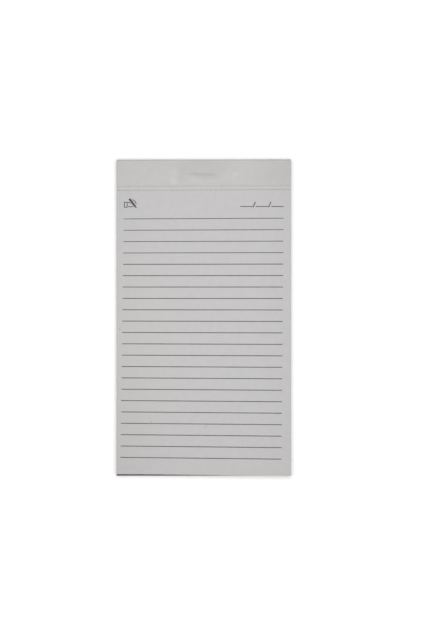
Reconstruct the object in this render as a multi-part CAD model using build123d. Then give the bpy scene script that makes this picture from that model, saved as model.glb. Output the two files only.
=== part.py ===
"""Refill writing pad: perforated leaves on a greyboard back, stapled and bound at the head.

The pad lies on its back. X runs across the width, +Y towards the bound head and +Z up from the
board's back to the top leaf. The origin is the centre of the pad's footprint, on the surface
that it lies on. All sizes are in millimetres.
"""

from build123d import *

import os
from math import radians, tan

# Leaves and backing board, with lengths along the middle of the pad
pad_width = 92.0
board_length = 167.12
board_thickness = 1.2
leaf_count = 50
leaf_thickness = 0.1
# Board standing out past the leaves along the foot and at each side
board_margin = 0.69
board_side_margin = 0.3
# The head and the board's foot are trimmed a little out of square: they rise to the right by
# these angles in degrees
head_slant = 0.1
foot_slant = 0.07
# The leaves stand further back at the left end of the foot, and curve out from there over this width
foot_curve_rise = 0.82
foot_curve_run = 75.0

# Tear-off perforation, measured from the head of the leaves. It and the strip's front edge rise
# a little to the right, by these angles in degrees.
perforation_from_head = 15.93
perforation_slant = 0.37
perforation_pitch = 2.54
perforation_tie = 0.84
slit_width = 0.2
# Least paper left between the last slit and the side of the leaf
perforation_edge = 0.5

# Paper strip folded round the head
strip_thickness = 0.2
strip_front_flap = 13.87
strip_slant = 0.24
strip_back_flap = 12.0
# Outer radius of its two folds; the edges of the head are pressed round to match
fold_radius = 0.8

# Flat-wire staple under the strip, measured from the head of the leaves
wire_thickness = 0.5
wire_width = 0.7
wire_bend_radius = 0.6
staple_crown = 13.0
staple_clinch = 3.5
staple_from_head = 8.8
# Depth that the crown is pulled into the leaves
crown_sink = 0.3
staple_clearance = 0.05

# Swell of the strip over the staple's crown
swell_half_width = 2.0
swell_clearance = 0.1

# Printed ruling on the top leaf, measured from the head of the leaves. It was printed a little
# out of square: each rule falls to the right by a little more than the rule above it, and starts
# a little further to the left at both ends.
ink_film = 0.03
rule_width = 0.47
rule_pitch = 6.015
first_rule_from_head = 30.98
first_rule_fall = -0.39
rule_fall_step = 0.064
rule_left_margin = 3.8
rule_left_step = -0.1
rule_right_margin = 4.1
rule_right_step = 0.02
# Least paper left below the last rule
rule_foot_margin = 7.0

# Printed date blank: fields on one line, parted by slashes
date_line_from_head = 24.62
date_right_margin = 3.9
date_field_count = 3
date_field_length = 6.5
date_field_gap = 1.7
slash_width = 0.6
slash_height = 2.9
slash_lean = 1.25
slash_drop = 0.45
slash_inset = 0.3

# Levels and edges that follow from the sizes above
leaf_bottom_z = board_thickness
leaf_block_thickness = leaf_count * leaf_thickness
leaf_top_z = leaf_bottom_z + leaf_block_thickness
board_width = pad_width + 2 * board_side_margin
head_rise = pad_width / 2 * tan(radians(head_slant))
foot_rise = board_width / 2 * tan(radians(foot_slant))
overall_length = board_length + foot_rise + head_rise + strip_thickness
foot_y = foot_rise - overall_length / 2
head_y = foot_y + board_length
leaf_foot_y = foot_y + board_margin
left_x = -pad_width / 2
right_x = pad_width / 2
staple_y = head_y - staple_from_head
crown_z = leaf_top_z - crown_sink + wire_thickness / 2
clinch_z = strip_thickness + wire_thickness / 2
head_edge_radius = fold_radius - strip_thickness
along_head = Pos(0, head_y, 0) * Rot(0, 0, head_slant)


def flat_wire_staple(clearance=0.0):
    """The formed staple or, with a clearance, the seat that it is driven into."""
    leg_x = (staple_crown - wire_thickness) / 2
    tip_x = leg_x - staple_clinch - clearance
    route = FilletPolyline(
        (-tip_x, clinch_z),
        (-leg_x, clinch_z),
        (-leg_x, crown_z),
        (leg_x, crown_z),
        (leg_x, clinch_z),
        (tip_x, clinch_z),
        radius=wire_bend_radius,
    )
    profile = Plane.XZ * trace(route, wire_thickness + 2 * clearance)
    return Pos(0, staple_y, 0) * extrude(profile, wire_width / 2 + clearance, both=True)


def swell(half_width, height, length):
    """A long low dome on the XY plane: a circular segment along X, with ball-shaped ends."""
    radius = (half_width**2 + height**2) / (2 * height)
    disc = Pos(0, height - radius) * Circle(radius)
    half_box = Rectangle(half_width, height, align=(Align.MIN, Align.MIN))
    whole_box = Rectangle(2 * half_width, height, align=(Align.CENTER, Align.MIN))
    middle = extrude(Plane.YZ * (disc & whole_box), length / 2, both=True)
    half_section = Plane.XZ * (disc & half_box)
    end = revolve(Rot(0, 0, -90) * half_section, Axis.Z, 180)
    right_end = Pos(length / 2, 0, 0) * end
    left_end = Pos(-length / 2, 0, 0) * Rot(0, 0, 180) * end
    return middle + right_end + left_end


def build_leaf_block():
    """The stack of leaves as one solid, with the perforation through it and the staple's seat."""
    curve_start = (left_x, leaf_foot_y + foot_curve_rise)
    curve_end = (left_x + foot_curve_run, leaf_foot_y)
    across = (1, 0)
    foot_curve = Spline(curve_start, curve_end, tangents=[across, across])
    straight_edges = Polyline(
        curve_end,
        (right_x, leaf_foot_y),
        (right_x, head_y + head_rise),
        (left_x, head_y - head_rise),
        curve_start,
    )
    outline = make_face(foot_curve + straight_edges)
    slit_length = perforation_pitch - perforation_tie
    room_for_slits = pad_width - 2 * perforation_edge - slit_length
    slit_count = int(room_for_slits / perforation_pitch) + 1
    row = Pos(0, head_y - perforation_from_head) * Rot(0, 0, perforation_slant)
    slit = Rectangle(slit_length, slit_width)
    slits = [row * place * slit for place in GridLocations(perforation_pitch, 0, slit_count, 1)]
    block = Pos(0, 0, leaf_bottom_z) * extrude(outline - slits, leaf_block_thickness)
    head_face = block.faces().sort_by(Axis.Y)[-1]
    head_edge = head_face.edges().sort_by(Axis.Z)[-1]
    return fillet(head_edge, head_edge_radius) - flat_wire_staple(staple_clearance)


def build_backing_board():
    """Greyboard back, with the strip's flap bedded into it at the head and the staple clinched."""
    board_head_rise = board_width / 2 * tan(radians(head_slant))
    outline = make_face(
        Polyline(
            (-board_width / 2, foot_y - foot_rise),
            (board_width / 2, foot_y + foot_rise),
            (board_width / 2, head_y + board_head_rise),
            (-board_width / 2, head_y - board_head_rise),
            close=True,
        )
    )
    on_back = (Align.CENTER, Align.MAX, Align.MIN)
    flap_bed = Box(2 * board_width, strip_back_flap, strip_thickness, align=on_back)
    board = extrude(outline, board_thickness) - along_head * flap_bed
    head_face = board.faces().sort_by(Axis.Y)[-1]
    head_edge = head_face.edges().sort_by(Axis.Z)[0]
    return fillet(head_edge, head_edge_radius) - flat_wire_staple(staple_clearance)


def build_head_strip():
    """Paper strip folded over the head from the top leaf to the back, swollen over the staple."""
    front_edge_rise = pad_width / 2 * tan(radians(strip_slant))
    uncut_edge_y = -strip_front_flap - front_edge_rise
    section = make_face(
        Polyline(
            (uncut_edge_y, leaf_top_z),
            (0, leaf_top_z),
            (0, strip_thickness),
            (-strip_back_flap, strip_thickness),
            (-strip_back_flap, 0),
            (strip_thickness, 0),
            (strip_thickness, leaf_top_z + strip_thickness),
            (uncut_edge_y, leaf_top_z + strip_thickness),
            close=True,
        )
    )
    inner_folds = section.vertices().group_by(Axis.X)[-2]
    section = fillet(inner_folds, head_edge_radius)
    outer_folds = section.vertices().group_by(Axis.X)[-1]
    section = fillet(outer_folds, fold_radius)
    long_strip = along_head * extrude(Plane.YZ * section, pad_width, both=True)
    between_sides = Pos(0, head_y, 0) * Box(pad_width, 4 * strip_front_flap, 4 * leaf_top_z)
    uncut = long_strip & between_sides
    on_leaf = (Align.CENTER, Align.MAX, Align.MIN)
    offcut = Box(2 * pad_width, strip_front_flap, strip_thickness, align=on_leaf)
    front_edge = Pos(0, head_y - strip_front_flap, leaf_top_z) * Rot(0, 0, strip_slant)
    folded = uncut - front_edge * offcut

    hollow_height = wire_thickness - crown_sink + swell_clearance
    hollow_radius = (swell_half_width**2 + hollow_height**2) / (2 * hollow_height)
    crest_height = hollow_height + strip_thickness
    crest_radius = hollow_radius + strip_thickness
    crest_half_width = (2 * crest_radius * crest_height - crest_height**2) ** 0.5
    over_staple = Pos(0, staple_y, leaf_top_z)
    crest = over_staple * swell(crest_half_width, crest_height, staple_crown)
    hollow = over_staple * swell(swell_half_width, hollow_height, staple_crown)
    return folded + crest - hollow


def ink_line(start, end, width=rule_width):
    """One printed line between two points on the top leaf, as a thin film of ink."""
    return Pos(0, 0, leaf_top_z) * extrude(trace(Line(start, end), width), ink_film)


def rule(index):
    """One rule of the ruling, counted from the head."""
    middle_y = head_y - first_rule_from_head - index * rule_pitch
    half_fall = (first_rule_fall + index * rule_fall_step) / 2
    start_x = left_x + rule_left_margin + index * rule_left_step
    end_x = right_x - rule_right_margin - index * rule_right_step
    return ink_line((start_x, middle_y + half_fall), (end_x, middle_y - half_fall))


def date_blank():
    """The fields of the date blank, from the left, with a slash in each gap."""
    line_y = head_y - date_line_from_head
    field_pitch = date_field_length + date_field_gap
    blank_length = date_field_count * field_pitch - date_field_gap
    blank_x = right_x - date_right_margin - blank_length
    field_starts = [blank_x + index * field_pitch for index in range(date_field_count)]
    fields = [ink_line((x, line_y), (x + date_field_length, line_y)) for x in field_starts]
    slash_feet = [x + date_field_length + slash_inset for x in field_starts[:-1]]
    foot_y_of_slash = line_y - slash_drop
    top_y_of_slash = foot_y_of_slash + slash_height
    slashes = [
        ink_line((x, foot_y_of_slash), (x + slash_lean, top_y_of_slash), slash_width)
        for x in slash_feet
    ]
    return fields + slashes


def build_ruled_lines():
    """All the printed lines of the top leaf."""
    ruled_length = head_y - leaf_foot_y - first_rule_from_head - rule_foot_margin
    rule_count = int(ruled_length / rule_pitch) + 1
    rules = [rule(index) for index in range(rule_count)]
    return Compound(children=rules + date_blank())


def main():
    """Build every piece of the pad and write each to its own file."""
    pieces = {
        "leaf_block": build_leaf_block(),
        "backing_board": build_backing_board(),
        "head_strip": build_head_strip(),
        "staple": flat_wire_staple(),
        "ruled_lines": build_ruled_lines(),
    }
    os.makedirs("parts", exist_ok=True)
    for name, piece in pieces.items():
        export_step(piece, f"parts/{name}.step")


main()
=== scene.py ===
"""Dresses the refill writing pad: leaves, head strip, board, staple and print, in a plain studio.

Everything is in metres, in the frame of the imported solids: X runs across the pad, +Y towards its
bound head and +Z up from the surface that it lies on.
"""

import logging
import math
import random
from dataclasses import dataclass, field
from enum import Enum
from typing import ClassVar, NamedTuple

import bpy
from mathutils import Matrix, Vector, noise
from mathutils.geometry import delaunay_2d_cdt


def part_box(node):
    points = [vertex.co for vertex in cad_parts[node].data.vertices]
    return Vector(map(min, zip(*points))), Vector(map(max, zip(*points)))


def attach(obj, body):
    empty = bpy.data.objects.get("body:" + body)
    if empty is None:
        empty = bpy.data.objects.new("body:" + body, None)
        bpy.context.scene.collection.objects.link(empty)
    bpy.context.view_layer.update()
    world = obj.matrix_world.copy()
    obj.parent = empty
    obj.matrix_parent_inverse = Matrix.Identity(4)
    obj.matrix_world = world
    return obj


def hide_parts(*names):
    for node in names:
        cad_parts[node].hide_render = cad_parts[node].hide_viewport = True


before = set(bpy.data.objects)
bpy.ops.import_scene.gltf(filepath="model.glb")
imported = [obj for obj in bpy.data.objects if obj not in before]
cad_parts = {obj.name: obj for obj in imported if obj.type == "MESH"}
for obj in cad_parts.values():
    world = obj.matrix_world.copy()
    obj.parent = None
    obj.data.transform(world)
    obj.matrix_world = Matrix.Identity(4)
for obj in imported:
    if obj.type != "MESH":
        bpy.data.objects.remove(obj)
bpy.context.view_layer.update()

LOG = logging.getLogger("writing_pad")
BODY = "root"
MM = 0.001
# Name of the texture map that a piece is given
MAP_NAME = "OFBake"
# Options of the triangulation: keep only what the edges enclose, and join points this near
INSIDE_EDGES = 1
NEARNESS = 1e-9
# Corners of a printed line's cross-section
SIDES = 4
# Places of the two colours, and of their mixture, among the sockets of a Mix node
MIX_FIRST = 6
MIX_SECOND = 7
MIX_RESULT = 2
# Results at the two ends of a step up and of a step down
RISING = (0.0, 1.0)
FADING = (1.0, 0.0)
# Mean of a noise from 0 to 1, and the spans of it that clouds, fibres and roughness follow
NOISE_MEAN = 0.5
CLOUD_SPAN = (0.25, 0.75)
FIBRE_SPAN = (0.3, 0.7)
ROUGH_SPAN = (0.2, 0.8)
# A foot and a head too far away to count, for an effect along the sides alone
FAR_ENDS = (-1.0, 1.0)
# A texture that runs the same way along every axis
EVEN = (1.0, 1.0, 1.0)
WHITE = (1.0, 1.0, 1.0, 1.0)

Point = tuple[float, float]
Span = tuple[float, float]
Triple = tuple[float, float, float]
Face = tuple[int, ...]
Edge = tuple[int, int]
Loop = list[Point]
Material = bpy.types.Material
Object = bpy.types.Object
Tree = bpy.types.NodeTree
Socket = bpy.types.NodeSocket
Sockets = bpy.types.bpy_prop_collection
Feed = float | tuple | Socket


class Slot(Enum):
    """The record's material slots."""

    PAPER = "paper"
    BOARD = "greyboard"
    STRIP = "strip_paper"
    STEEL = "staple_steel"
    INK = "ink"


class Unevenness(Enum):
    """Layers of one noise, so that no two uses of it share a pattern."""

    STRIP_WAVES = 0.0
    STRIP_CUT = 1.0
    INK_SPREAD = 2.0

    def at(self, x: float, y: float, size: float) -> float:
        """Noise from -1 to 1 at a place, in waves of about this size."""
        return noise.noise(Vector((x / size, y / size, self.value)))


def slope(angle: float) -> float:
    """Rise over run of a line that is turned by this many degrees."""
    return math.tan(math.radians(angle))


def box_corners(x: float, y: float, width: float, length: float) -> Loop:
    """Corners of an upright box round a point."""
    shares = ((-0.5, -0.5), (0.5, -0.5), (0.5, 0.5), (-0.5, 0.5))
    return [(x + across * width, y + along * length) for across, along in shares]


def cut_edges(faces: list[Face]) -> list[Edge]:
    """Edges of a sheet, each as the one face that has it runs along it."""
    edges = {edge for face in faces for edge in zip(face, face[1:] + face[:1])}
    return sorted((first, second) for first, second in edges if (second, first) not in edges)


def new_object(name: str, data: bpy.types.ID) -> Object:
    """Put a new object into the scene.

    Args:
        name: its name.
        data: its mesh, lamp or camera.

    Returns:
        The object.
    """
    placed = bpy.data.objects.new(name, data)
    bpy.context.scene.collection.objects.link(placed)
    return placed


def shade(colour: Triple, factor: float = 1.0) -> tuple[float, float, float, float]:
    """A linear colour made darker or lighter by a factor, with full alpha."""
    return (colour[0] * factor, colour[1] * factor, colour[2] * factor, 1.0)


@dataclass(frozen=True)
class PadLayout:
    """Edges and levels of the pad along its middle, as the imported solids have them."""

    left: float
    right: float
    head: float
    foot: float
    leaf_bottom: float
    leaf_top: float
    spine: float
    head_slant: float = 0.1

    @classmethod
    def from_frame(cls) -> "PadLayout":
        """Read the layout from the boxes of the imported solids.

        Returns:
            The layout.
        """
        leaf_low, leaf_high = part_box("leaf_block")
        _, strip_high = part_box("head_strip")
        head_rise = leaf_high.x * slope(cls.head_slant)
        return cls(
            left=leaf_low.x,
            right=leaf_high.x,
            head=leaf_high.y - head_rise,
            foot=leaf_low.y,
            leaf_bottom=leaf_low.z,
            leaf_top=leaf_high.z,
            spine=strip_high.y - head_rise,
        )

    @property
    def width(self) -> float:
        """Width of the leaves."""
        return self.right - self.left

    @property
    def strip_thickness(self) -> float:
        """Thickness of the paper strip folded round the head."""
        return self.spine - self.head

    @property
    def strip_top(self) -> float:
        """Level of the strip's upper face."""
        return self.leaf_top + self.strip_thickness

    def head_rise(self, x: float) -> float:
        """How much further the head reaches at a place across the pad than at its middle."""
        return x * slope(self.head_slant)

    def columns(self, count: int) -> list[float]:
        """Places across the pad that divide its width evenly."""
        return [self.left + self.width * index / count for index in range(count + 1)]


@dataclass(frozen=True)
class MapTile:
    """A box of a piece's texture map, in shares of the map's width and height."""

    left: float
    low: float
    width: float
    height: float

    def at(self, across: float, along: float) -> Point:
        """The place in the box at a share of its width and of its height."""
        return (self.left + across * self.width, self.low + along * self.height)

    def cell(self, index: int, columns: int, rows: int) -> "MapTile":
        """One box of a grid that divides this one.

        Args:
            index: the box's number, row by row from the lower left.
            columns: how many boxes lie side by side.
            rows: how many lie one above another.

        Returns:
            The smaller box.
        """
        row, column = divmod(index, columns)
        left, low = self.at(column / columns, row / rows)
        return MapTile(left, low, self.width / columns, self.height / rows)


@dataclass
class MeshDraft:
    """Points and faces gathered for one piece, with the faces' corners on its texture map."""

    points: list[Triple] = field(default_factory=list)
    faces: list[Face] = field(default_factory=list)
    corners: list[Point] = field(default_factory=list)

    def add(self, points: list[Triple], faces: list[Face]) -> None:
        """Add a closed form.

        Args:
            points: the form's points.
            faces: its faces, which count from its own first point.
        """
        start = len(self.points)
        self.points.extend(points)
        self.faces.extend(tuple(start + index for index in face) for face in faces)

    def add_sheet(
        self, outer: list[Triple], inner: list[Triple], faces: list[Face], rim: list[Edge]
    ) -> None:
        """Add a sheet of paper, closed along its edges.

        Args:
            outer: the points of its outer side.
            inner: the points of its inner side, in the same order.
            faces: the faces of its outer side.
            rim: its cut edges.
        """
        size = len(outer)
        back = [tuple(size + corner for corner in reversed(face)) for face in faces]
        sides = [(first, size + first, size + second, second) for first, second in rim]
        self.add(outer + inner, faces + back + sides)

    def to_object(self, name: str, crease: float | None = None) -> Object:
        """Make the piece, and let it ride on the pad.

        Args:
            name: the piece's name.
            crease: edges flatter than this many degrees are shaded smooth, none if left out.

        Returns:
            The new object.
        """
        mesh = bpy.data.meshes.new(name)
        mesh.from_pydata(self.points, [], self.faces)
        if self.corners:
            layer = mesh.uv_layers.new(name=MAP_NAME, do_init=False)
            layer.uv.foreach_set("vector", [share for corner in self.corners for share in corner])
        mesh.validate()
        if crease is not None:
            mesh.shade_smooth()
            mesh.set_sharp_from_angle(angle=math.radians(crease))
        piece = new_object(name, mesh)
        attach(piece, BODY)
        return piece


class Graph:
    """A node tree, with short calls to add nodes and to join them."""

    def __init__(self, tree: Tree) -> None:
        """Work on this tree."""
        self.tree = tree

    def add(self, kind: str, inputs: dict | None = None, **settings: object) -> bpy.types.Node:
        """Add one node.

        Args:
            kind: the node's type.
            inputs: what each input takes, by name or index: a value, or a socket to link.
            **settings: the node's own properties.

        Returns:
            The new node.
        """
        node = self.tree.nodes.new(kind)
        for name, value in settings.items():
            setattr(node, name, value)
        for key, value in (inputs or {}).items():
            self.feed(node.inputs[key], value)
        return node

    def feed(self, target: Socket, value: Feed) -> None:
        """Set an input.

        Args:
            target: the input.
            value: the value that it gets, or the socket that it is linked to.
        """
        if isinstance(value, Socket):
            self.tree.links.new(value, target)
        else:
            target.default_value = value

    def math(self, operation: str, first: Feed, second: Feed = 0.0) -> Socket:
        """Result of one sum on two numbers."""
        return self.add("ShaderNodeMath", {0: first, 1: second}, operation=operation).outputs[0]

    def length(self, vector: Socket) -> Socket:
        """Length of a vector."""
        return self.add("ShaderNodeVectorMath", {0: vector}, operation="LENGTH").outputs["Value"]

    def ramp(self, value: Feed, over: tuple[Feed, Feed], to: tuple[Feed, Feed] = RISING) -> Socket:
        """Smooth step from one number to another.

        Args:
            value: the value that it follows.
            over: where that value starts and ends the step.
            to: the results there.

        Returns:
            The result.
        """
        ends = {"From Min": over[0], "From Max": over[1], "To Min": to[0], "To Max": to[1]}
        step = self.add("ShaderNodeMapRange", {"Value": value, **ends}, interpolation_type="SMOOTHSTEP")
        return step.outputs["Result"]

    def mix(self, share: Feed, first: Feed, second: Feed) -> Socket:
        """Colour that goes from the first to the second as the share goes from 0 to 1."""
        inputs = {0: share, MIX_FIRST: first, MIX_SECOND: second}
        return self.add("ShaderNodeMix", inputs, data_type="RGBA").outputs[MIX_RESULT]

    def point(self) -> Socket:
        """The point being shaded, in the pad's own frame."""
        return self.add("ShaderNodeTexCoord").outputs["Object"]

    def noise(self, size: Feed, detail: float = 3.0, stretch: Triple = EVEN) -> Socket:
        """Noise from 0 to 1 at the point being shaded.

        Args:
            size: the size of its coarsest grains.
            detail: how many finer layers it has.
            stretch: how densely it runs along each axis.

        Returns:
            The noise.
        """
        placed = self.add("ShaderNodeMapping", {"Vector": self.point(), "Scale": stretch})
        scale = self.math("DIVIDE", 1.0, size)
        inputs = {"Vector": placed.outputs["Vector"], "Scale": scale, "Detail": detail}
        return self.add("ShaderNodeTexNoise", inputs).outputs[0]


class EffectGroup(Graph):
    """A shader node group under way, with its inputs as sockets to link from."""

    def __init__(self, name: str, inputs: dict[str, float | Triple], outputs: list[str]) -> None:
        """Start the group.

        Args:
            name: the group's name.
            inputs: each input's name with its first value, a number or a vector.
            outputs: the names of its outputs, which are numbers.
        """
        super().__init__(bpy.data.node_groups.new(name, "ShaderNodeTree"))
        sockets = self.tree.interface
        for label, value in inputs.items():
            kind = "NodeSocketVector" if isinstance(value, tuple) else "NodeSocketFloat"
            given = sockets.new_socket(name=label, in_out="INPUT", socket_type=kind)
            given.default_value = value
        for label in outputs:
            sockets.new_socket(name=label, in_out="OUTPUT", socket_type="NodeSocketFloat")
        self.given = self.add("NodeGroupInput").outputs

    def finished(self, **results: Socket) -> Tree:
        """Put the results out by name, and give the group back."""
        self.add("NodeGroupOutput", results)
        return self.tree


@dataclass
class Effects:
    """The shader node groups that the finishes share, each built once."""

    fibre_ways: tuple[Triple, Triple] = ((1.0, 0.3, 1.0), (0.4, 1.0, 1.0))
    fibre_detail: float = 4.0
    cloud_relief: float = 0.5
    uneven_size: float = 3.0 * MM
    wander: float = 0.6 * MM
    wander_size: float = 1.0 * MM
    fleck_fade: Span = (0.1, 0.4)

    def __post_init__(self) -> None:
        """Build every group."""
        self.formation = self._formation()
        self.edge_band = self._edge_band()
        self.soft_spot = self._soft_spot()
        self.flecks = self._flecks()

    def _formation(self) -> Tree:
        """Paper's cloudy look-through and its felt of fibres.

        Returns:
            The group.
        """
        inputs = {"Fibre Size": MM, "Cloud Size": MM}
        group = EffectGroup("paper_formation", inputs, ["Cloud", "Fibre", "Height"])
        cloud = group.noise(group.given["Cloud Size"])
        fibre_size = group.given["Fibre Size"]
        felt = [group.noise(fibre_size, self.fibre_detail, way) for way in self.fibre_ways]
        fibre = group.math("DIVIDE", group.math("ADD", *felt), len(felt))
        height = group.math("ADD", fibre, group.math("MULTIPLY", cloud, self.cloud_relief))
        return group.finished(Cloud=cloud, Fibre=fibre, Height=height)

    def _edge_band(self) -> Tree:
        """Mask of an uneven band along the sides, the head and the foot, for painted shade and
        darkening there.

        Returns:
            The group.
        """
        inputs = {"Half Width": MM, "Foot": -MM, "Head": MM, "Band": MM}
        group = EffectGroup("edge_band", inputs, ["Soil"])
        given = group.given
        axes = group.add("ShaderNodeSeparateXYZ", {0: group.point()}).outputs
        from_side = group.math("SUBTRACT", given["Half Width"], group.math("ABSOLUTE", axes["X"]))
        from_foot = group.math("SUBTRACT", axes["Y"], given["Foot"])
        from_head = group.math("SUBTRACT", given["Head"], axes["Y"])
        nearest = group.math("MINIMUM", from_side, group.math("MINIMUM", from_foot, from_head))
        waver = group.math("SUBTRACT", group.noise(self.uneven_size), NOISE_MEAN)
        uneven = group.math("MULTIPLY", waver, given["Band"])
        reach = group.math("ADD", nearest, uneven)
        return group.finished(Soil=group.ramp(reach, (0.0, given["Band"]), FADING))

    def _soft_spot(self) -> Tree:
        """One soft-edged oval patch, for specks, stains, blisters and painted shade.

        Returns:
            The group.
        """
        nowhere = (0.0, 0.0, 0.0)
        inputs = {"Centre": nowhere, "Size": (MM, MM, MM), "Turn": nowhere, "Core": 0.0}
        group = EffectGroup("soft_spot", inputs, ["Mask"])
        placed = {
            "Vector": group.point(),
            "Location": group.given["Centre"],
            "Rotation": group.given["Turn"],
            "Scale": group.given["Size"],
        }
        local = group.add("ShaderNodeMapping", placed, vector_type="TEXTURE").outputs["Vector"]
        mask = group.ramp(group.length(local), (group.given["Core"], 1.0), FADING)
        return group.finished(Mask=mask)

    def _flecks(self) -> Tree:
        """Stray fibres and specks of recycled pulp.

        Returns:
            The group.
        """
        group = EffectGroup("pulp_flecks", {"Fleck Size": MM, "Share": 0.0}, ["Fleck"])
        point = group.point()
        drift = group.add("ShaderNodeTexNoise", {"Vector": point, "Scale": 1 / self.wander_size})
        push = {0: drift.outputs["Color"], "Scale": self.wander}
        pushed = group.add("ShaderNodeVectorMath", push, operation="SCALE").outputs[0]
        bent = group.add("ShaderNodeVectorMath", {0: point, 1: pushed}, operation="ADD").outputs[0]
        scale = group.math("DIVIDE", 1.0, group.given["Fleck Size"])
        cells = group.add("ShaderNodeTexVoronoi", {"Vector": bent, "Scale": scale}).outputs
        lot = group.add("ShaderNodeSeparateColor", {0: cells["Color"]}).outputs[0]
        chosen = group.math("LESS_THAN", lot, group.given["Share"])
        fleck = group.ramp(cells["Distance"], self.fleck_fade, FADING)
        return group.finished(Fleck=group.math("MULTIPLY", chosen, fleck))


class Surface(Graph):
    """A material under way, with its Principled shader."""

    def __init__(self, name: str) -> None:
        """Start a material.

        Args:
            name: its name.
        """
        self.material = bpy.data.materials.new(name)
        self.material.use_nodes = True
        super().__init__(self.material.node_tree)
        self.shader = self.tree.nodes["Principled BSDF"]

    def set(self, **values: Feed) -> None:
        """Set or link inputs of the shader; an underscore stands for a space in a name."""
        for name, value in values.items():
            self.feed(self.shader.inputs[name.replace("_", " ")], value)

    def effect(self, group: Tree, **values: Feed) -> Sockets:
        """Outputs of a shared effect placed here; an underscore stands for a space in a name."""
        inputs = {name.replace("_", " "): value for name, value in values.items()}
        return self.add("ShaderNodeGroup", inputs, node_tree=group).outputs

    def cover(self, colour: Feed, mask: Socket, strength: float, tint: Triple) -> Socket:
        """A colour with a tint laid over it, as far as the mask and the strength allow."""
        return self.mix(self.math("MULTIPLY", mask, strength), colour, shade(tint))

    def bump(self, height: Socket, distance: float) -> None:
        """Raise the surface by a height from 0 to 1 over a distance in metres."""
        inputs = {"Height": height, "Distance": distance}
        self.set(Normal=self.add("ShaderNodeBump", inputs).outputs["Normal"])


@dataclass(frozen=True)
class Spot:
    """A soft oval patch, in millimetres, placed from the pad's middle line and its head."""

    x: float
    from_head: float
    width: float
    length: float
    strength: float
    turn: float = 0.0
    core: float = 0.2
    depth: float = 3.0

    def dome(self, x: float, from_head: float) -> float:
        """Height of a soft dome of the spot's size at a place, and of its strength at the middle."""
        across, along = (x - self.x) / self.width, (from_head - self.from_head) / self.length
        return self.strength * math.exp(-(across**2) - along**2)

    def placing(self, head: float, level: float) -> dict[str, Feed]:
        """What the soft spot effect takes to show this one.

        Args:
            head: the head that it is measured from.
            level: the height of the face that it lies on.

        Returns:
            The effect's inputs.
        """
        return {
            "Centre": (self.x * MM, head - self.from_head * MM, level),
            "Size": (self.width * MM, self.length * MM, self.depth * MM),
            "Turn": (0.0, 0.0, math.radians(self.turn)),
            "Core": self.core,
        }


@dataclass(frozen=True)
class Marks:
    """Spots of one tint."""

    tint: Triple
    spots: tuple[Spot, ...]


@dataclass(frozen=True)
class PulpFinish:
    """What paper, board and the ink on them share: clouds, fibres, and a dull face."""

    name: str
    colour: Triple
    cloud_size: float
    fibre_size: float
    relief: float
    roughness: Span
    gloss: float

    def start(self, effects: Effects) -> tuple[Surface, Sockets]:
        """Start the material with its clouds and fibres.

        Args:
            effects: the shared effects.

        Returns:
            The material under way, and the outputs of the formation placed in it.
        """
        surface = Surface(self.name)
        sizes = {"Cloud_Size": self.cloud_size, "Fibre_Size": self.fibre_size}
        return surface, surface.effect(effects.formation, **sizes)

    def end(
        self, surface: Surface, formation: Sockets, colour: Socket, height: Socket
    ) -> Material:
        """End the material with a dull face that is rougher on its fibres.

        Args:
            surface: the material under way.
            formation: the outputs of its formation.
            colour: its colour.
            height: its relief, from 0 to 1.

        Returns:
            The material.
        """
        rough = surface.ramp(formation["Fibre"], ROUGH_SPAN, self.roughness)
        surface.set(Base_Color=colour, Roughness=rough, Specular_IOR_Level=self.gloss)
        surface.bump(height, self.relief)
        return surface.material


@dataclass(frozen=True)
class SheetFinish(PulpFinish):
    """Uncoated paper: mottled, with painted shade towards its sides, darker in a narrow band along all
    its edges, and with marks, some of them painted shade.
    """

    cloud_depth: float
    fibre_depth: float
    darkening_colour: Triple
    marks: tuple[Marks, ...]
    edge_darkening: float = 0.10
    edge_darkening_band: float = 1.2 * MM
    side_shade: float = 0.045
    side_shade_band: float = 22.0 * MM

    def _mottled(self, surface: Surface, formation: Sockets) -> Socket:
        """Vary the paper's colour with its clouds and its fibres.

        Args:
            surface: the material under way.
            formation: the outputs of its formation.

        Returns:
            The varied colour.
        """
        depth = self.cloud_depth + self.fibre_depth
        cloud = surface.ramp(formation["Cloud"], CLOUD_SPAN, (0.0, self.cloud_depth / depth))
        fibre = surface.ramp(formation["Fibre"], FIBRE_SPAN, (0.0, self.fibre_depth / depth))
        tone = surface.math("ADD", cloud, fibre)
        return surface.mix(tone, shade(self.colour, 1 - depth / 2), shade(self.colour, 1 + depth / 2))

    def material(self, effects: Effects, layout: PadLayout, level: float) -> Material:
        """Build the finish.

        Args:
            effects: the shared effects.
            layout: the pad's layout.
            level: the height of the face that the marks lie on.

        Returns:
            The material.
        """
        surface, formation = self.start(effects)
        colour = self._mottled(surface, formation)
        # The wide band along the sides is painted shade; the narrow band darkens every edge.
        bands = (
            (self.side_shade, self.side_shade_band, FAR_ENDS),
            (self.edge_darkening, self.edge_darkening_band, (layout.foot, layout.spine)),
        )
        for strength, band, (foot, head) in bands:
            edges = {"Half_Width": layout.right, "Foot": foot, "Head": head}
            edge_darkening = surface.effect(effects.edge_band, Band=band, **edges)["Soil"]
            colour = surface.cover(colour, edge_darkening, strength, self.darkening_colour)
        for marks in self.marks:
            for spot in marks.spots:
                mask = surface.effect(effects.soft_spot, **spot.placing(layout.head, level))["Mask"]
                colour = surface.cover(colour, mask, spot.strength, marks.tint)
        return self.end(surface, formation, colour, formation["Height"])


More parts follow.
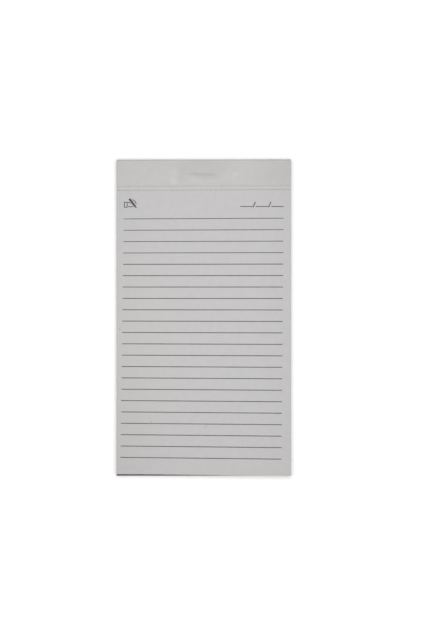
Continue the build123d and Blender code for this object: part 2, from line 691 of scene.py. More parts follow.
@dataclass(frozen=True)
class WritingPaper(SheetFinish):
    """The leaves' paper: yellowed patches, painted shade along the strip's edge and along the
    perforation, a few specks, and painted shade at the lower left.
    """

    name: str = "writing_paper"
    colour: Triple = (0.5675, 0.556, 0.559)
    cloud_size: float = 3.5 * MM
    fibre_size: float = 0.25 * MM
    relief: float = 0.012 * MM
    roughness: Span = (0.78, 0.94)
    gloss: float = 0.3
    cloud_depth: float = 0.032
    fibre_depth: float = 0.05
    darkening_colour: Triple = (0.25, 0.25, 0.25)
    marks: tuple[Marks, ...] = (
        Marks(
            (0.5675, 0.556, 0.515),
            (
                Spot(-46.0, 105.0, 55.0, 90.0, 0.35, core=0.0),
                Spot(15.0, 170.0, 60.0, 22.0, 0.3, core=0.0),
            ),
        ),
        Marks(
            (0.25, 0.25, 0.25),
            (
                # Painted shadow along the strip's front edge
                Spot(0.0, 14.02, 140.0, 0.5, 0.11, turn=0.24),
                # Painted shade along the perforation
                Spot(0.0, 15.93, 140.0, 0.9, 0.06, turn=0.37),
            ),
        ),
        Marks(
            (0.12, 0.12, 0.115),
            (
                Spot(-44.4, 88.9, 0.5, 0.4, 0.42),
                Spot(-27.6, 138.1, 0.4, 0.5, 0.5, turn=-20.0),
                Spot(1.1, 140.5, 1.7, 0.7, 0.17, turn=37.0),
                Spot(1.1, 141.7, 1.2, 0.6, 0.07, turn=-38.0),
                # Painted shade towards the lower left corner, not a speck
                Spot(-46.0, 167.5, 45.0, 70.0, 0.04, core=0.0),
            ),
        ),
    )


@dataclass(frozen=True)
class BindingPaper(SheetFinish):
    """The head strip's paper: coarser, darker towards the head and at its right end, with painted shade
    over the staple's swell, beside a pucker and along its front edge, paler on blisters.
    """

    name: str = "binding_paper"
    colour: Triple = (0.556, 0.55, 0.54)
    cloud_size: float = 6.0 * MM
    fibre_size: float = 0.4 * MM
    relief: float = 0.02 * MM
    roughness: Span = (0.7, 0.9)
    gloss: float = 0.35
    cloud_depth: float = 0.035
    fibre_depth: float = 0.07
    darkening_colour: Triple = (0.25, 0.245, 0.24)
    marks: tuple[Marks, ...] = (
        Marks(
            (0.44, 0.435, 0.425),
            (
                # Darker towards the head over the staple, and at the right end
                Spot(-1.0, 3.9, 19.0, 6.0, 0.26, core=0.35),
                Spot(44.0, 7.5, 22.0, 14.0, 0.2),
                # Painted shadow of the swell over the staple, in two spots
                Spot(-1.2, 7.7, 12.0, 1.2, 0.4, turn=-1.5, core=0.35),
                Spot(1.4, 8.9, 11.5, 2.1, 0.35, turn=-1.0, core=0.25),
                # Painted shadow beside the left pucker
                Spot(-11.3, 8.2, 3.2, 6.5, 0.2),
                # Painted shade along the strip's front edge
                Spot(0.0, 13.6, 140.0, 0.6, 0.22, turn=0.24),
            ),
        ),
        Marks(
            (0.62, 0.615, 0.605),
            (
                Spot(-15.9, 11.1, 2.7, 3.4, 0.5, turn=6.0),
                Spot(-15.4, 6.1, 1.9, 3.6, 0.4, turn=-8.0),
                Spot(16.9, 7.6, 3.3, 1.6, 0.6, turn=30.0),
            ),
        ),
    )


@dataclass(frozen=True)
class Flecks:
    """Stray fibres of one tint in the board's pulp."""

    tint: Triple
    size: float
    share: float
    strength: float


@dataclass(frozen=True)
class Greyboard(PulpFinish):
    """Recycled greyboard: grey pulp with dark and pale flecks, in layers along its cut edges."""

    name: str = "greyboard"
    colour: Triple = (0.245, 0.238, 0.225)
    cloud_size: float = 7.0 * MM
    fibre_size: float = 0.5 * MM
    relief: float = 0.05 * MM
    roughness: Span = (0.82, 0.97)
    gloss: float = 0.2
    cloud_shades: Span = (0.9, 1.1)
    flecks: tuple[Flecks, ...] = (
        Flecks((0.11, 0.105, 0.1), 1.1 * MM, 0.18, 0.6),
        Flecks((0.42, 0.41, 0.39), 0.8 * MM, 0.14, 0.5),
    )
    layer_size: float = 0.16 * MM
    layer_stretch: Triple = (0.08, 0.08, 1.0)
    layer_detail: float = 2.0
    layer_span: Span = (0.35, 0.65)
    layer_depth: float = 0.25
    layer_shade: float = 0.7

    def material(self, effects: Effects) -> Material:
        """Build the finish for the backing board.

        Args:
            effects: the shared effects.

        Returns:
            The material.
        """
        surface, formation = self.start(effects)
        dark, pale = (shade(self.colour, factor) for factor in self.cloud_shades)
        colour = surface.mix(surface.ramp(formation["Cloud"], CLOUD_SPAN), dark, pale)
        layers = surface.noise(self.layer_size, self.layer_detail, self.layer_stretch)
        layered = surface.ramp(layers, self.layer_span, (0.0, self.layer_depth))
        colour = surface.mix(layered, colour, shade(self.colour, self.layer_shade))
        for flecks in self.flecks:
            values = {"Fleck_Size": flecks.size, "Share": flecks.share}
            mask = surface.effect(effects.flecks, **values)["Fleck"]
            colour = surface.cover(colour, mask, flecks.strength, flecks.tint)
        height = surface.math("ADD", formation["Height"], layers)
        return self.end(surface, formation, colour, height)


@dataclass(frozen=True)
class LineInk(PulpFinish):
    """Dark grey printing ink, thinner over the tops of the paper's fibres."""

    name: str = "line_ink"
    colour: Triple = (0.11, 0.11, 0.115)
    cloud_size: float = 9.0 * MM
    fibre_size: float = 0.09 * MM
    relief: float = 0.006 * MM
    roughness: Span = (0.55, 0.85)
    gloss: float = 0.3
    starved: Triple = (0.3, 0.3, 0.3)
    starved_span: Span = (0.5, 0.68)
    starved_share: float = 0.55
    uneven_span: Span = (0.35, 0.7)
    uneven_share: float = 0.25

    def material(self, effects: Effects) -> Material:
        """Build the finish for the print.

        Args:
            effects: the shared effects.

        Returns:
            The material.
        """
        surface, formation = self.start(effects)
        thin = surface.ramp(formation["Fibre"], self.starved_span, (0.0, self.starved_share))
        uneven = surface.ramp(formation["Cloud"], self.uneven_span, (0.0, self.uneven_share))
        share = surface.math("MAXIMUM", thin, uneven)
        colour = surface.mix(share, shade(self.colour), shade(self.starved))
        return self.end(surface, formation, colour, formation["Height"])


@dataclass(frozen=True)
class SolidInk(LineInk):
    """The same ink laid on more fully, as in the solid parts of a sign."""

    name: str = "solid_ink"
    colour: Triple = (0.05, 0.05, 0.055)
    starved_share: float = 0.3
    uneven_share: float = 0.1


@dataclass(frozen=True)
class GalvanisedWire:
    """Galvanised flat wire with fine drawing lines and a cloudy bloom."""

    colour: Triple = (0.56, 0.57, 0.58)
    bloom_size: float = 0.6 * MM
    bloom_shades: Span = (0.8, 1.1)
    line_size: float = 0.05 * MM
    line_stretch: Triple = (0.05, 1.0, 1.0)
    line_detail: float = 2.0
    line_span: Span = (0.3, 0.7)
    roughness: Span = (0.28, 0.45)
    relief: float = 0.004 * MM

    def material(self) -> Material:
        """Build the finish for the staple.

        Returns:
            The material.
        """
        surface = Surface("galvanised_wire")
        lines = surface.noise(self.line_size, self.line_detail, self.line_stretch)
        bloom = surface.noise(self.bloom_size)
        dark, pale = (shade(self.colour, factor) for factor in self.bloom_shades)
        surface.set(
            Base_Color=surface.mix(bloom, dark, pale),
            Roughness=surface.ramp(lines, self.line_span, self.roughness),
            Metallic=1.0,
        )
        surface.bump(lines, self.relief)
        return surface.material


class Piece:
    """A piece of the pad, with the record's material slot that it belongs to."""

    slot: ClassVar[Slot]

    def dress(self, piece: Object, material: Material) -> None:
        """Give the built piece its finish."""
        piece.data.materials.append(material)


@dataclass
class CarriedSolid(Piece):
    """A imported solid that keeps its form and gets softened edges."""

    node: ClassVar[str]
    edge: float
    edge_segments: int = 2

    def build(self) -> Object:
        """Take the solid over, bare of its plain finish.

        Returns:
            The solid's own object.
        """
        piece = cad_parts[self.node]
        piece.data.materials.clear()
        bevel = piece.modifiers.new("worn_edge", "BEVEL")
        bevel.width = self.edge
        bevel.segments = self.edge_segments
        bevel.limit_method = "ANGLE"
        return piece


@dataclass
class BackingBoard(CarriedSolid):
    """The greyboard back."""

    slot: ClassVar[Slot] = Slot.BOARD
    node: ClassVar[str] = "backing_board"
    edge: float = 0.08 * MM


@dataclass
class Staple(CarriedSolid):
    """The flat-wire staple, with the sizes that its seat follows, measured from the head."""

    slot: ClassVar[Slot] = Slot.STEEL
    node: ClassVar[str] = "staple"
    edge: float = 0.06 * MM
    crown: float = 13.0 * MM
    wire_thickness: float = 0.5 * MM
    wire_width: float = 0.7 * MM
    clearance: float = 0.05 * MM
    from_head: float = 8.8 * MM
    sink: float = 0.3 * MM

    @property
    def leg_x(self) -> float:
        """Distance of each leg's middle from the middle of the crown."""
        return (self.crown - self.wire_thickness) / 2

    def seat(self, size: float) -> float:
        """Room for a size of the staple, with clearance at both sides."""
        return size + 2 * self.clearance


@dataclass(frozen=True)
class LeafLift:
    """How the free foot of the upper leaves stands up a little from the stack."""

    layout: PadLayout
    reach: float = 60.0 * MM
    height: float = 0.4 * MM
    power: float = 2.2
    middle_share: float = 0.3

    def at(self, x: float, y: float) -> float:
        """Lift of the top leaf at a point of the sheet.

        Args:
            x: the point's place across the pad.
            y: its place along the pad.

        Returns:
            The lift.
        """
        along = max(0.0, (self.layout.foot + self.reach - y) / self.reach)
        across = abs(x) / self.layout.right
        share = self.middle_share + (1 - self.middle_share) * across**2
        return self.height * share * along**self.power


@dataclass
class LeafTemplate:
    """One leaf laid flat: its points, its faces seen from above, and its cut edges."""

    points: list[Point]
    faces: list[Face]
    rim: list[Edge]


@dataclass
class LeafStack(Piece):
    """The pad's leaves, each its own thin sheet, perforated near the head and stapled there."""

    slot: ClassVar[Slot] = Slot.PAPER
    layout: PadLayout
    lift: LeafLift
    staple: Staple
    count: int = 50
    fill: float = 0.94
    lifted: int = 9
    lift_power: float = 1.5
    perforation_from_head: float = 15.93 * MM
    perforation_slant: float = 0.37
    perforation_pitch: float = 2.54 * MM
    perforation_tie: float = 0.84 * MM
    perforation_edge: float = 0.5 * MM
    slit_width: float = 0.11 * MM
    head_edge_radius: float = 0.6 * MM
    curve_rise: float = 0.82 * MM
    curve_run: float = 75.0 * MM
    bound_depth: float = 20.0 * MM
    columns: int = 12
    rows: int = 20
    seed: int = 7
    drift_step: float = 0.012 * MM
    drift_hold: float = 0.8
    slip_chance: float = 0.12
    slip: float = 0.035 * MM
    slip_limit: float = 0.06 * MM
    width_spread: float = 0.006 * MM
    top_tile: MapTile = MapTile(0.004, 0.004, 0.552, 0.99)
    hidden_tile: MapTile = MapTile(0.565, 0.11, 0.431, 0.885)
    hidden_columns: int = 11
    rim_tile: MapTile = MapTile(0.565, 0.004, 0.431, 0.1)

    @property
    def pitch(self) -> float:
        """Height from one leaf to the next."""
        return (self.layout.leaf_top - self.layout.leaf_bottom) / self.count

    @property
    def seam_y(self) -> float:
        """Line below which the leaves are free of the binding."""
        return self.layout.head - self.bound_depth

    def level(self, index: int) -> float:
        """Height of a leaf's upper face, counted from the board up."""
        return self.layout.leaf_bottom + (index + 1) * self.pitch

    def foot_at(self, x: float) -> float:
        """The leaves' foot at a place across the pad: it curves back at the left."""
        share = min(1.0, (x - self.layout.left) / self.curve_run)
        return self.layout.foot + self.curve_rise * (1 - share**2 * (3 - 2 * share))

    def _slits(self) -> list[Loop]:
        """Lay out the perforation.

        Returns:
            The corners of each slit.
        """
        length = self.perforation_pitch - self.perforation_tie
        room = self.layout.width - 2 * self.perforation_edge - length
        last = int(room / self.perforation_pitch)
        y = self.layout.head - self.perforation_from_head
        turn = math.radians(self.perforation_slant)
        rise, run = math.sin(turn), math.cos(turn)
        middles = [(index - last / 2) * self.perforation_pitch for index in range(last + 1)]
        level = [box_corners(x, 0.0, length, self.slit_width) for x in middles]
        return [[(u * run - v * rise, y + u * rise + v * run) for u, v in slit] for slit in level]

    def _wire_hole(self, x: float, width: float) -> Loop:
        """Corners of a hole for this width of the staple, at a place across the pad."""
        sizes = (self.staple.seat(width), self.staple.seat(self.staple.wire_width))
        return box_corners(x, self.layout.head - self.staple.from_head, *sizes)

    def _bound_part(self, seam: Loop, holes: list[Loop]) -> tuple[Loop, list[Face]]:
        """Lay out the part of a leaf from the seam to the head, round its holes.

        Args:
            seam: the points along the seam, from the left.
            holes: the corners of each hole.

        Returns:
            The part's points, those of the seam first, and its faces.
        """
        ends = (seam[-1][0], seam[0][0])
        head_corners = [(x, self.layout.head + self.layout.head_rise(x)) for x in ends]
        loops = [seam + head_corners, *holes]
        points = [point for loop in loops for point in loop]
        loop_of = [number for number, loop in enumerate(loops) for _ in loop]
        edges = []
        for loop in loops:
            first, size = len(edges), len(loop)
            edges += [(first + index, first + (index + 1) % size) for index in range(size)]
        places = [Vector(point) for point in points]
        _, _, triangles, sources, _, _ = delaunay_2d_cdt(places, edges, [], INSIDE_EDGES, NEARNESS)
        faces = [tuple(sources[index][0] for index in triangle) for triangle in triangles]
        loops_met = [{loop_of[index] for index in face} for face in faces]
        return points, [face for face, met in zip(faces, loops_met) if len(met) > 1 or met == {0}]

    def _template(self, holes: list[Loop]) -> LeafTemplate:
        """Lay out one leaf.

        Args:
            holes: the corners of each hole in its bound part.

        Returns:
            The leaf, flat.
        """
        curve_end = self.layout.left + self.curve_run
        places = sorted({*self.layout.columns(self.columns), curve_end})
        across = len(places)
        points, faces = self._bound_part([(x, self.seam_y) for x in places], holes)
        upper = range(across)
        for row in range(1, self.rows + 1):
            lower = range(len(points), len(points) + across)
            depth = row / self.rows
            points += [(x, self.seam_y + (self.foot_at(x) - self.seam_y) * depth) for x in places]
            for column in range(across - 1):
                faces.append((upper[column], lower[column], lower[column + 1], upper[column + 1]))
            upper = lower
        return LeafTemplate(points, faces, cut_edges(faces))

    def _head_inset(self, level: float) -> float:
        """How far a leaf stands back from the head, which is pressed round.

        Args:
            level: the height of the leaf's upper face.

        Returns:
            The distance.
        """
        below = self.layout.leaf_top - level
        if below >= self.head_edge_radius:
            return 0.0
        rise = self.head_edge_radius - below
        return self.head_edge_radius - math.sqrt(self.head_edge_radius**2 - rise**2)

    def _drifts(self) -> list[Triple]:
        """Draw how far each leaf has slipped; the top one hasn't.

        Returns:
            Each leaf's slip across and along at its foot, and how much wider it is.
        """
        draw = random.Random(self.seed)
        across, along, drifts = 0.0, 0.0, []
        for _ in range(self.count):
            across = across * self.drift_hold + draw.gauss(0.0, self.drift_step)
            along = along * self.drift_hold + draw.gauss(0.0, self.drift_step)
            if draw.random() < self.slip_chance:
                across += draw.gauss(0.0, self.slip)
                along += draw.gauss(0.0, self.slip)
            across = max(-self.slip_limit, min(self.slip_limit, across))
            along = max(-self.slip_limit, min(self.slip_limit, along))
            drifts.append((across, along, draw.gauss(0.0, self.width_spread)))
        drifts[-1] = (0.0, 0.0, 0.0)
        return drifts

    def _corners(self, template: LeafTemplate, index: int) -> list[Point]:
        """Place a leaf on the texture map, most of which goes to the face that shows.

        Args:
            template: the leaf, flat.
            index: its number, from the board up.

        Returns:
            The place of each corner of its upper faces, its lower faces and its cut edges.
        """
        rows = math.ceil(2 * self.count / self.hidden_columns)
        numbers = (index, self.count + index)
        hidden = [self.hidden_tile.cell(number, self.hidden_columns, rows) for number in numbers]
        lower_tile, upper_tile = hidden
        if index == self.count - 1:
            upper_tile = self.top_tile
        left, foot = self.layout.left, self.layout.foot
        width, length = self.layout.width, self.layout.spine - foot
        shares = [((x - left) / width, (y - foot) / length) for x, y in template.points]
        corners = []
        for face in template.faces:
            corners += [upper_tile.at(*shares[corner]) for corner in face]
        for face in template.faces:
            corners += [lower_tile.at(*shares[corner]) for corner in reversed(face)]
        strip = self.rim_tile.cell(index, 1, self.count)
        for number in range(len(template.rim)):
            cell = strip.cell(number, len(template.rim), 1)
            corners += [cell.at(0, 1), cell.at(0, 0), cell.at(1, 0), cell.at(1, 1)]
        return corners

    def _lay(self, draft: MeshDraft, template: LeafTemplate, index: int, drift: Triple) -> None:
        """Lay one leaf on the stack.

        Args:
            draft: the stack so far.
            template: the leaf, flat.
            index: its number, from the board up.
            drift: how far it has slipped.
        """
        top = self.level(index)
        thickness = self.fill * self.pitch
        inset = self._head_inset(top)
        from_top = self.count - 1 - index
        lift_share = max(0.0, 1 - from_top / self.lifted) ** self.lift_power
        across, along, wider = drift
        upper = []
        for x, y in template.points:
            free = max(0.0, (self.seam_y - y) / (self.seam_y - self.layout.foot))
            head = self.layout.head + self.layout.head_rise(x) - inset
            shifted_x = x + across * free + wider * x / self.layout.right
            shifted_y = min(y + along * free, head)
            upper.append((shifted_x, shifted_y, top + self.lift.at(x, y) * lift_share))
        lower = [(x, y, z - thickness) for x, y, z in upper]
        draft.add_sheet(upper, lower, template.faces, template.rim)
        draft.corners += self._corners(template, index)

    def build(self) -> Object:
        """Build every leaf, from the board up.

        Returns:
            The piece.
        """
        slits = self._slits()
        legs = (-self.staple.leg_x, self.staple.leg_x)
        leg_holes = [self._wire_hole(x, self.staple.wire_thickness) for x in legs]
        legged = self._template(slits + leg_holes)
        slotted = self._template([*slits, self._wire_hole(0.0, self.staple.crown)])
        crown_bottom = self.layout.leaf_top - self.staple.sink - self.staple.clearance
        draft = MeshDraft()
        for index, drift in enumerate(self._drifts()):
            template = slotted if self.level(index) > crown_bottom else legged
            self._lay(draft, template, index, drift)
        piece = draft.to_object("leaf_stack")
        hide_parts("leaf_block")
        return piece


class ProfilePoint(NamedTuple):
    """A point of the folded strip's outer line, with the outward direction there."""

    y: float
    z: float
    out_y: float
    out_z: float


@dataclass
class HeadStrip(Piece):
    """The paper strip folded round the head, drawn up over the staple's crown."""

    slot: ClassVar[Slot] = Slot.STRIP
    layout: PadLayout
    staple: Staple
    front_flap: float = 13.87 * MM
    slant: float = 0.24
    back_flap: float = 12.0 * MM
    fold_radius: float = 0.8 * MM
    swell_height: float = 0.3 * MM
    swell_half_width: float = 2.0 * MM
    swell_softness: float = 0.04 * MM
    pucker_height: float = 0.05 * MM
    puckers: tuple[Spot, ...] = (
        Spot(-15.7, 9.5, 1.7, 3.2, 1.0),
        Spot(16.7, 7.6, 2.0, 1.2, 1.0),
    )
    wave_height: float = 0.012 * MM
    wave_size: float = 7.0 * MM
    fade_reach: float = 1.0 * MM
    edge_lift: float = 0.03 * MM
    edge_lift_reach: float = 0.5 * MM
    cut_wander: float = 0.03 * MM
    cut_wander_size: float = 4.0 * MM
    columns: int = 184
    front_rows: int = 44
    fold_rows: int = 6
    spine_rows: int = 8
    back_rows: int = 12
    crease: float = 40.0

    @property
    def front_edge(self) -> float:
        """The front flap's edge, at the middle of the pad."""
        return self.layout.head - self.front_flap

    @property
    def fold_y(self) -> float:
        """Line along which both folds start."""
        return self.layout.spine - self.fold_radius

    def _edge_rise(self, x: float) -> float:
        """Rise of the front flap's edge at a place across the pad."""
        return x * slope(self.slant)

    def _swell(self, x: float, y: float) -> float:
        """Rise of the strip over the crown: a long low dome with a soft foot.

        Args:
            x: a place across the pad.
            y: a place along it.

        Returns:
            The rise there.
        """
        radius = (self.swell_half_width**2 + self.swell_height**2) / (2 * self.swell_height)
        past_end = max(0.0, abs(x) - self.staple.crown / 2)
        reach = math.hypot(past_end, y - self.layout.head + self.staple.from_head)
        dome = math.sqrt(max(0.0, radius**2 - reach**2)) - (radius - self.swell_height)
        return (dome + math.hypot(dome, self.swell_softness)) / 2

    def _pucker(self, x: float, y: float) -> float:
        """Rise of the low blisters where the paper is drawn towards the ends of the staple."""
        from_head = (self.layout.head - y) / MM
        return self.pucker_height * sum(spot.dome(x / MM, from_head) for spot in self.puckers)

    def _relief(self, x: float, y: float) -> float:
        """Height of the front flap above its flat place, which fades out before the fold.

        Args:
            x: a place across the pad.
            y: a place along it.

        Returns:
            The height there.
        """
        to_fold = self.fold_y + self.layout.head_rise(x) - y
        fade = min(1.0, max(0.0, to_fold / self.fade_reach))
        wave = self.wave_height * (Unevenness.STRIP_WAVES.at(x, y, self.wave_size) + 1)
        from_edge = y - self.front_edge - self._edge_rise(x)
        curl = self.edge_lift * math.exp(-from_edge / self.edge_lift_reach)
        return fade * (self._swell(x, y) + self._pucker(x, y) + wave) + curl

    def _fold(self, middle_z: float, start: float) -> list[ProfilePoint]:
        """Outer line of one fold, a quarter turn.

        Args:
            middle_z: the height of its middle.
            start: the angle at which it starts.

        Returns:
            The line's points.
        """
        line = []
        for row in range(self.fold_rows + 1):
            angle = start - math.pi / 2 * row / self.fold_rows
            out_y, out_z = math.cos(angle), math.sin(angle)
            y, z = self.fold_y + self.fold_radius * out_y, middle_z + self.fold_radius * out_z
            line.append(ProfilePoint(y, z, out_y, out_z))
        return line

    def _profile(self) -> list[ProfilePoint]:
        """Outer line of the folded strip.

        Returns:
            The line's points, from the strip's front edge to its back one.
        """
        top, fold_y, radius = self.layout.strip_top, self.fold_y, self.fold_radius
        back_y = self.layout.head - self.back_flap
        line = []
        for row in range(self.front_rows):
            y = self.front_edge + (fold_y - self.front_edge) * row / self.front_rows
            line.append(ProfilePoint(y, top, 0.0, 1.0))
        line += self._fold(top - radius, math.pi / 2)
        for row in range(1, self.spine_rows):
            z = top - radius + (2 * radius - top) * row / self.spine_rows
            line.append(ProfilePoint(self.layout.spine, z, 1.0, 0.0))
        line += self._fold(radius, 0.0)
        for row in range(1, self.back_rows + 1):
            y = fold_y + (back_y - fold_y) * row / self.back_rows
            line.append(ProfilePoint(y, 0.0, 0.0, -1.0))
        return line

    def build(self) -> Object:
        """Build the strip as a closed sheet of its own thickness.

        Returns:
            The piece.
        """
        profile = self._profile()
        places = self.layout.columns(self.columns)
        thickness = self.layout.strip_thickness
        outer, inner = [], []
        for row, at in enumerate(profile):
            to_edge = max(0.0, 1 - row / self.front_rows)
            for x in places:
                head_rise = self.layout.head_rise(x)
                ragged = self.cut_wander * Unevenness.STRIP_CUT.at(x, 0.0, self.cut_wander_size)
                y = at.y + head_rise + to_edge * (self._edge_rise(x) - head_rise + ragged)
                z = at.z + (self._relief(x, y) if row < self.front_rows else 0.0)
                outer.append((x, y, z))
                inner.append((x, y - thickness * at.out_y, z - thickness * at.out_z))
        across = len(places)
        faces = []
        for start in range(0, len(outer) - across, across):
            for first in range(start, start + across - 1):
                faces.append((first, first + 1, first + across + 1, first + across))
        draft = MeshDraft()
        draft.add_sheet(outer, inner, faces, cut_edges(faces))
        piece = draft.to_object("head_strip_paper", self.crease)
        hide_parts("head_strip")
        return piece


@dataclass
class Print(Piece):
    """Lines of ink on the top leaf, which follow its face."""

    slot: ClassVar[Slot] = Slot.INK
    layout: PadLayout
    lift: LeafLift
    film: float = 0.02 * MM
    standoff: float = 0.006 * MM
    spread: float = 0.06
    spread_size: float = 1.5 * MM
    step: float = 2.0 * MM
    draft: MeshDraft = field(default_factory=MeshDraft)

    def _subdivide(self, path: list[Triple]) -> list[Triple]:
        """Add points to a path, so that no two are more than a step apart.

        Args:
            path: the path's places and widths.

        Returns:
            The path with the added points.
        """
        dense = [path[0]]
        for (x0, y0, width0), (x1, y1, width1) in zip(path, path[1:]):
            count = max(1, math.ceil(math.hypot(x1 - x0, y1 - y0) / self.step))
            for index in range(1, count + 1):
                share = index / count
                width = width0 + (width1 - width0) * share
                dense.append((x0 + (x1 - x0) * share, y0 + (y1 - y0) * share, width))
        return dense

    @staticmethod
    def _mitre(before: Vector, here: Vector, after: Vector) -> Vector:
        """Way to the left of a line, so long that the line keeps its width round a bend.

        Args:
            before: the point before, or this one where the line starts.
            here: the point of the line.
            after: the point after, or this one where the line ends.

        Returns:
            The way to the left.
        """
        runs = [(before, here), (here, after)]
        ways = [(end - start).normalized() for start, end in runs if end != start]
        lefts = [Vector((-way.y, way.x)) for way in ways]
        return (lefts[0] + lefts[-1]) / (1 + lefts[0].dot(lefts[-1]))

    def line(self, path: list[Point], widths: list[float], closed: bool = False) -> None:
        """Print a line along a path.

        Args:
            path: the points that it goes through.
            widths: its width at each of them.
            closed: whether it goes back to its first point.
        """
        route = [(x, y, width) for (x, y), width in zip(path, widths)]
        dense = self._subdivide(route + route[:1])[:-1] if closed else self._subdivide(route)
        places = [Vector((x, y)) for x, y, _ in dense]
        count = len(dense)
        points = []
        for index, (x, y, width) in enumerate(dense):
            here = places[index]
            before = places[index - 1] if closed or index > 0 else here
            after = places[(index + 1) % count] if closed or index < count - 1 else here
            uneven = 1 + self.spread * Unevenness.INK_SPREAD.at(x, y, self.spread_size)
            aside = self._mitre(before, here, after) * width * uneven / 2
            low = self.layout.leaf_top + self.lift.at(x, y) + self.standoff
            high = low + self.film
            left, right = here + aside, here - aside
            points += [(*right, high), (*left, high), (*left, low), (*right, low)]
        faces = []
        for index in range(count if closed else count - 1):
            start, end = SIDES * index, SIDES * ((index + 1) % count)
            for side in range(SIDES):
                other = (side + 1) % SIDES
                faces.append((start + side, end + side, end + other, start + other))
        if not closed:
            last = SIDES * count
            faces += [tuple(range(SIDES)), tuple(range(last - 1, last - 1 - SIDES, -1))]
        self.draft.add(points, faces)


@dataclass
class Ruling(Print):
    """The rules and the date blank, measured from the head of the leaves."""

    rule_width: float = 0.47 * MM
    early_rules: int = 4
    early_share: float = 0.87
    pitch: float = 6.015 * MM
    first_from_head: float = 30.98 * MM
    first_fall: float = -0.39 * MM
    fall_step: float = 0.064 * MM
    left_margin: float = 3.8 * MM
    left_step: float = -0.08 * MM
    right_margin: float = 3.92 * MM
    right_step: float = 0.053 * MM
    foot_margin: float = 7.0 * MM
    date_from_head: float = 24.62 * MM
    date_right_margin: float = 3.9 * MM
    field_count: int = 3
    field_length: float = 6.5 * MM
    field_gap: float = 1.7 * MM
    slash_width: float = 0.6 * MM
    slash_height: float = 2.9 * MM
    slash_lean: float = 1.25 * MM
    slash_drop: float = 0.45 * MM
    slash_inset: float = 0.3 * MM

    def _print_rules(self) -> None:
        """Print the rules, each falling a little more to the right than the one above."""
        ruled = self.layout.head - self.layout.foot - self.first_from_head - self.foot_margin
        for index in range(int(ruled / self.pitch) + 1):
            y = self.layout.head - self.first_from_head - index * self.pitch
            half_fall = (self.first_fall + index * self.fall_step) / 2
            start_x = self.layout.left + self.left_margin + index * self.left_step
            end_x = self.layout.right - self.right_margin - index * self.right_step
            width = self.rule_width * (self.early_share if index < self.early_rules else 1.0)
            self.line([(start_x, y + half_fall), (end_x, y - half_fall)], [width, width])

    def _print_date_blank(self) -> None:
        """Print the date blank: fields on one line, parted by slashes."""
        y = self.layout.head - self.date_from_head
        pitch = self.field_length + self.field_gap
        end_x = self.layout.right - self.date_right_margin
        start_x = end_x - self.field_count * pitch + self.field_gap
        for index in range(self.field_count):
            x = start_x + index * pitch
            self.line([(x, y), (x + self.field_length, y)], [self.rule_width] * 2)
            if index < self.field_count - 1:
                foot = (x + self.field_length + self.slash_inset, y - self.slash_drop)
                top = (foot[0] + self.slash_lean, foot[1] + self.slash_height)
                self.line([foot, top], [self.slash_width] * 2)

    def build(self) -> Object:
        """Print all the lines of the sheet.

        Returns:
            The piece.
        """
        self._print_rules()
        self._print_date_blank()
        piece = self.draft.to_object("printed_ruling")
        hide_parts("ruled_lines")
        return piece


@dataclass
class WritingSign(Print):
    """A plain sign of a hand with a pen at the top left, in millimetres from its lower left."""

    left_margin: float = 4.0 * MM
    base_from_head: float = 25.38 * MM
    pen: tuple[Point, ...] = ((2.85, 4.8), (4.7, 2.3), (5.65, 1.0), (6.6, 0.05))
    pen_widths: tuple[float, ...] = (1.15, 1.15, 1.05, 0.3)
    cuff: tuple[Point, ...] = ((0.2, 0.35), (1.6, 0.35), (1.7, 3.0), (0.2, 3.0))
    strokes: tuple[tuple[Point, Point, Point], ...] = (
        ((2.0, 2.95), (2.75, 2.95), (3.45, 2.3)),
        ((1.98, 0.78), (3.4, 0.45), (4.75, 0.75)),
        ((4.35, 4.4), (6.15, 3.75), (6.4, 1.85)),
    )
    stroke_width: float = 0.4
    curve_steps: int = 16
    end_share: float = 0.35
    end_sharpness: float = 8.0

    def _placed(self, points: tuple[Point, ...]) -> Loop:
        """Places on the sheet of points given in the sign's own millimetres."""
        left, base = self.layout.left + self.left_margin, self.layout.head - self.base_from_head
        return [(left + x * MM, base + y * MM) for x, y in points]

    def _print_stroke(self, start: Point, bend: Point, end: Point) -> None:
        """Print one curved stroke of the sign, with rounded ends.

        Args:
            start: where it starts.
            bend: the point that it bends towards.
            end: where it ends.
        """
        path, widths = [], []
        for index in range(self.curve_steps + 1):
            share = index / self.curve_steps
            weights = ((1 - share) ** 2, 2 * share * (1 - share), share**2)
            x = sum(weight * point[0] for weight, point in zip(weights, (start, bend, end)))
            y = sum(weight * point[1] for weight, point in zip(weights, (start, bend, end)))
            to_end = min(1.0, self.end_sharpness * min(share, 1 - share) + self.end_share)
            path.append((x, y))
            widths.append(self.stroke_width * MM * math.sin(to_end * math.pi / 2))
        self.line(self._placed(path), widths)

    def build(self) -> Object:
        """Print the sign: a pen, the hand's cuff and its outline.

        Returns:
            The piece.
        """
        self.line(self._placed(self.pen), [width * MM for width in self.pen_widths])
        cuff_widths = [self.stroke_width * MM] * len(self.cuff)
        self.line(self._placed(self.cuff), cuff_widths, closed=True)
        for stroke in self.strokes:
            self._print_stroke(*stroke)
        return self.draft.to_object("writing_sign")


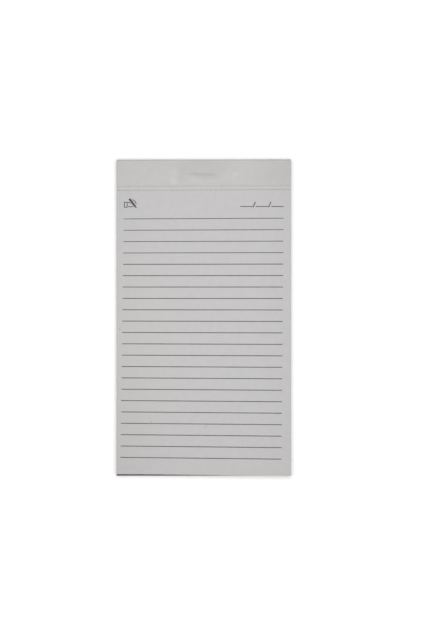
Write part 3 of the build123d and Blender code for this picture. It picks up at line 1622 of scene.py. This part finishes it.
@dataclass(frozen=True)
class Studio:
    """White floor, one soft lamp overhead, even light all round, and the camera above the pad."""

    floor_size: float = 6.0
    floor_drop: float = 0.05 * MM
    floor_colour: Triple = (0.86, 0.86, 0.86)
    glow: Span = (0.27, 0.95)
    glow_reach: Span = (0.1, 0.45)
    ambient: float = 0.3
    lamp_place: Triple = (0.0, 0.02, 0.42)
    lamp_size: float = 0.25
    lamp_power: float = 1.335
    camera_place: Triple = (3.58 * MM, 1.37 * MM, 0.7)
    nearest: float = 0.01
    scale: float = 1.8973 / MM
    picture_height: int = 631
    sensor: float = 36.0

    @staticmethod
    def _seen(graph: Graph) -> Socket:
        """Tell rays that show a thing from rays that light it.

        Args:
            graph: the material or world under way.

        Returns:
            One for a ray that goes to the camera, straight, mirrored or through glass, or zero.
        """
        path = graph.add("ShaderNodeLightPath").outputs
        aside = graph.math("MAXIMUM", path["Is Glossy Ray"], path["Is Transmission Ray"])
        return graph.math("MAXIMUM", path["Is Camera Ray"], aside)

    def _floor_material(self) -> Material:
        """Matte white, with a glow that only the camera sees, so that the shadow stays.

        Returns:
            The material.
        """
        surface = Surface("white_floor")
        surface.set(Base_Color=shade(self.floor_colour), Roughness=1.0, Specular_IOR_Level=0.0)
        amount = surface.ramp(surface.length(surface.point()), self.glow_reach, self.glow)
        strength = surface.math("MULTIPLY", self._seen(surface), amount)
        glow = surface.add("ShaderNodeEmission", {"Strength": strength}).outputs[0]
        both = surface.add("ShaderNodeAddShader", {0: surface.shader.outputs[0], 1: glow})
        surface.feed(surface.tree.nodes["Material Output"].inputs["Surface"], both.outputs[0])
        return surface.material

    def build_floor(self) -> None:
        """Lay the floor under the pad."""
        corners = box_corners(0.0, 0.0, self.floor_size, self.floor_size)
        points = [(x, y, -self.floor_drop) for x, y in corners]
        mesh = bpy.data.meshes.new("studio_floor")
        mesh.from_pydata(points, [], [tuple(range(len(points)))])
        mesh.materials.append(self._floor_material())
        new_object("studio_floor", mesh)

    def build_light(self) -> None:
        """Hang the lamp, and light the rest of the room evenly."""
        lamp = bpy.data.lights.new("overhead_softbox", "AREA")
        lamp.size = self.lamp_size
        lamp.energy = self.lamp_power
        holder = new_object("overhead_softbox", lamp)
        holder.location = self.lamp_place
        holder.visible_camera = False
        world = bpy.data.worlds.new("studio")
        world.use_nodes = True
        bpy.context.scene.world = world
        graph = Graph(world.node_tree)
        light = world.node_tree.nodes["Background"]
        graph.feed(light.inputs["Color"], WHITE)
        graph.feed(light.inputs["Strength"], self.ambient)
        shown = graph.add("ShaderNodeBackground", {"Color": WHITE, "Strength": 1.0})
        inputs = {0: self._seen(graph), 1: light.outputs[0], 2: shown.outputs[0]}
        either = graph.add("ShaderNodeMixShader", inputs)
        graph.feed(world.node_tree.nodes["World Output"].inputs["Surface"], either.outputs[0])

    def build_camera(self, level: float) -> None:
        """Set the camera straight above the pad, at the scale of the photograph.

        Args:
            level: the height of the face that has that scale.
        """
        camera = bpy.data.cameras.new("overhead_camera")
        distance = self.camera_place[-1] - level
        camera.sensor_width = self.sensor
        camera.lens = self.scale * distance * self.sensor / self.picture_height
        camera.clip_start = self.nearest
        holder = new_object("overhead_camera", camera)
        holder.location = self.camera_place
        bpy.context.scene.camera = holder
        bpy.context.scene.view_settings.view_transform = "Standard"


def main() -> None:
    """Build and dress the pad's pieces in order, then the studio round them."""
    logging.basicConfig(level=logging.INFO)
    layout = PadLayout.from_frame()
    lift = LeafLift(layout)
    staple = Staple()
    effects = Effects()
    parts = (
        (LeafStack(layout, lift, staple), WritingPaper().material(effects, layout, layout.leaf_top)),
        (HeadStrip(layout, staple), BindingPaper().material(effects, layout, layout.strip_top)),
        (BackingBoard(), Greyboard().material(effects)),
        (staple, GalvanisedWire().material()),
        (Ruling(layout, lift), LineInk().material(effects)),
        (WritingSign(layout, lift), SolidInk().material(effects)),
    )
    for part, material in parts:
        piece = part.build()
        part.dress(piece, material)
        LOG.info("%s: %d faces in %s", piece.name, len(piece.data.polygons), material.name)

    studio = Studio()
    studio.build_floor()
    studio.build_light()
    studio.build_camera(layout.leaf_top)


if __name__ == "__main__":
    main()
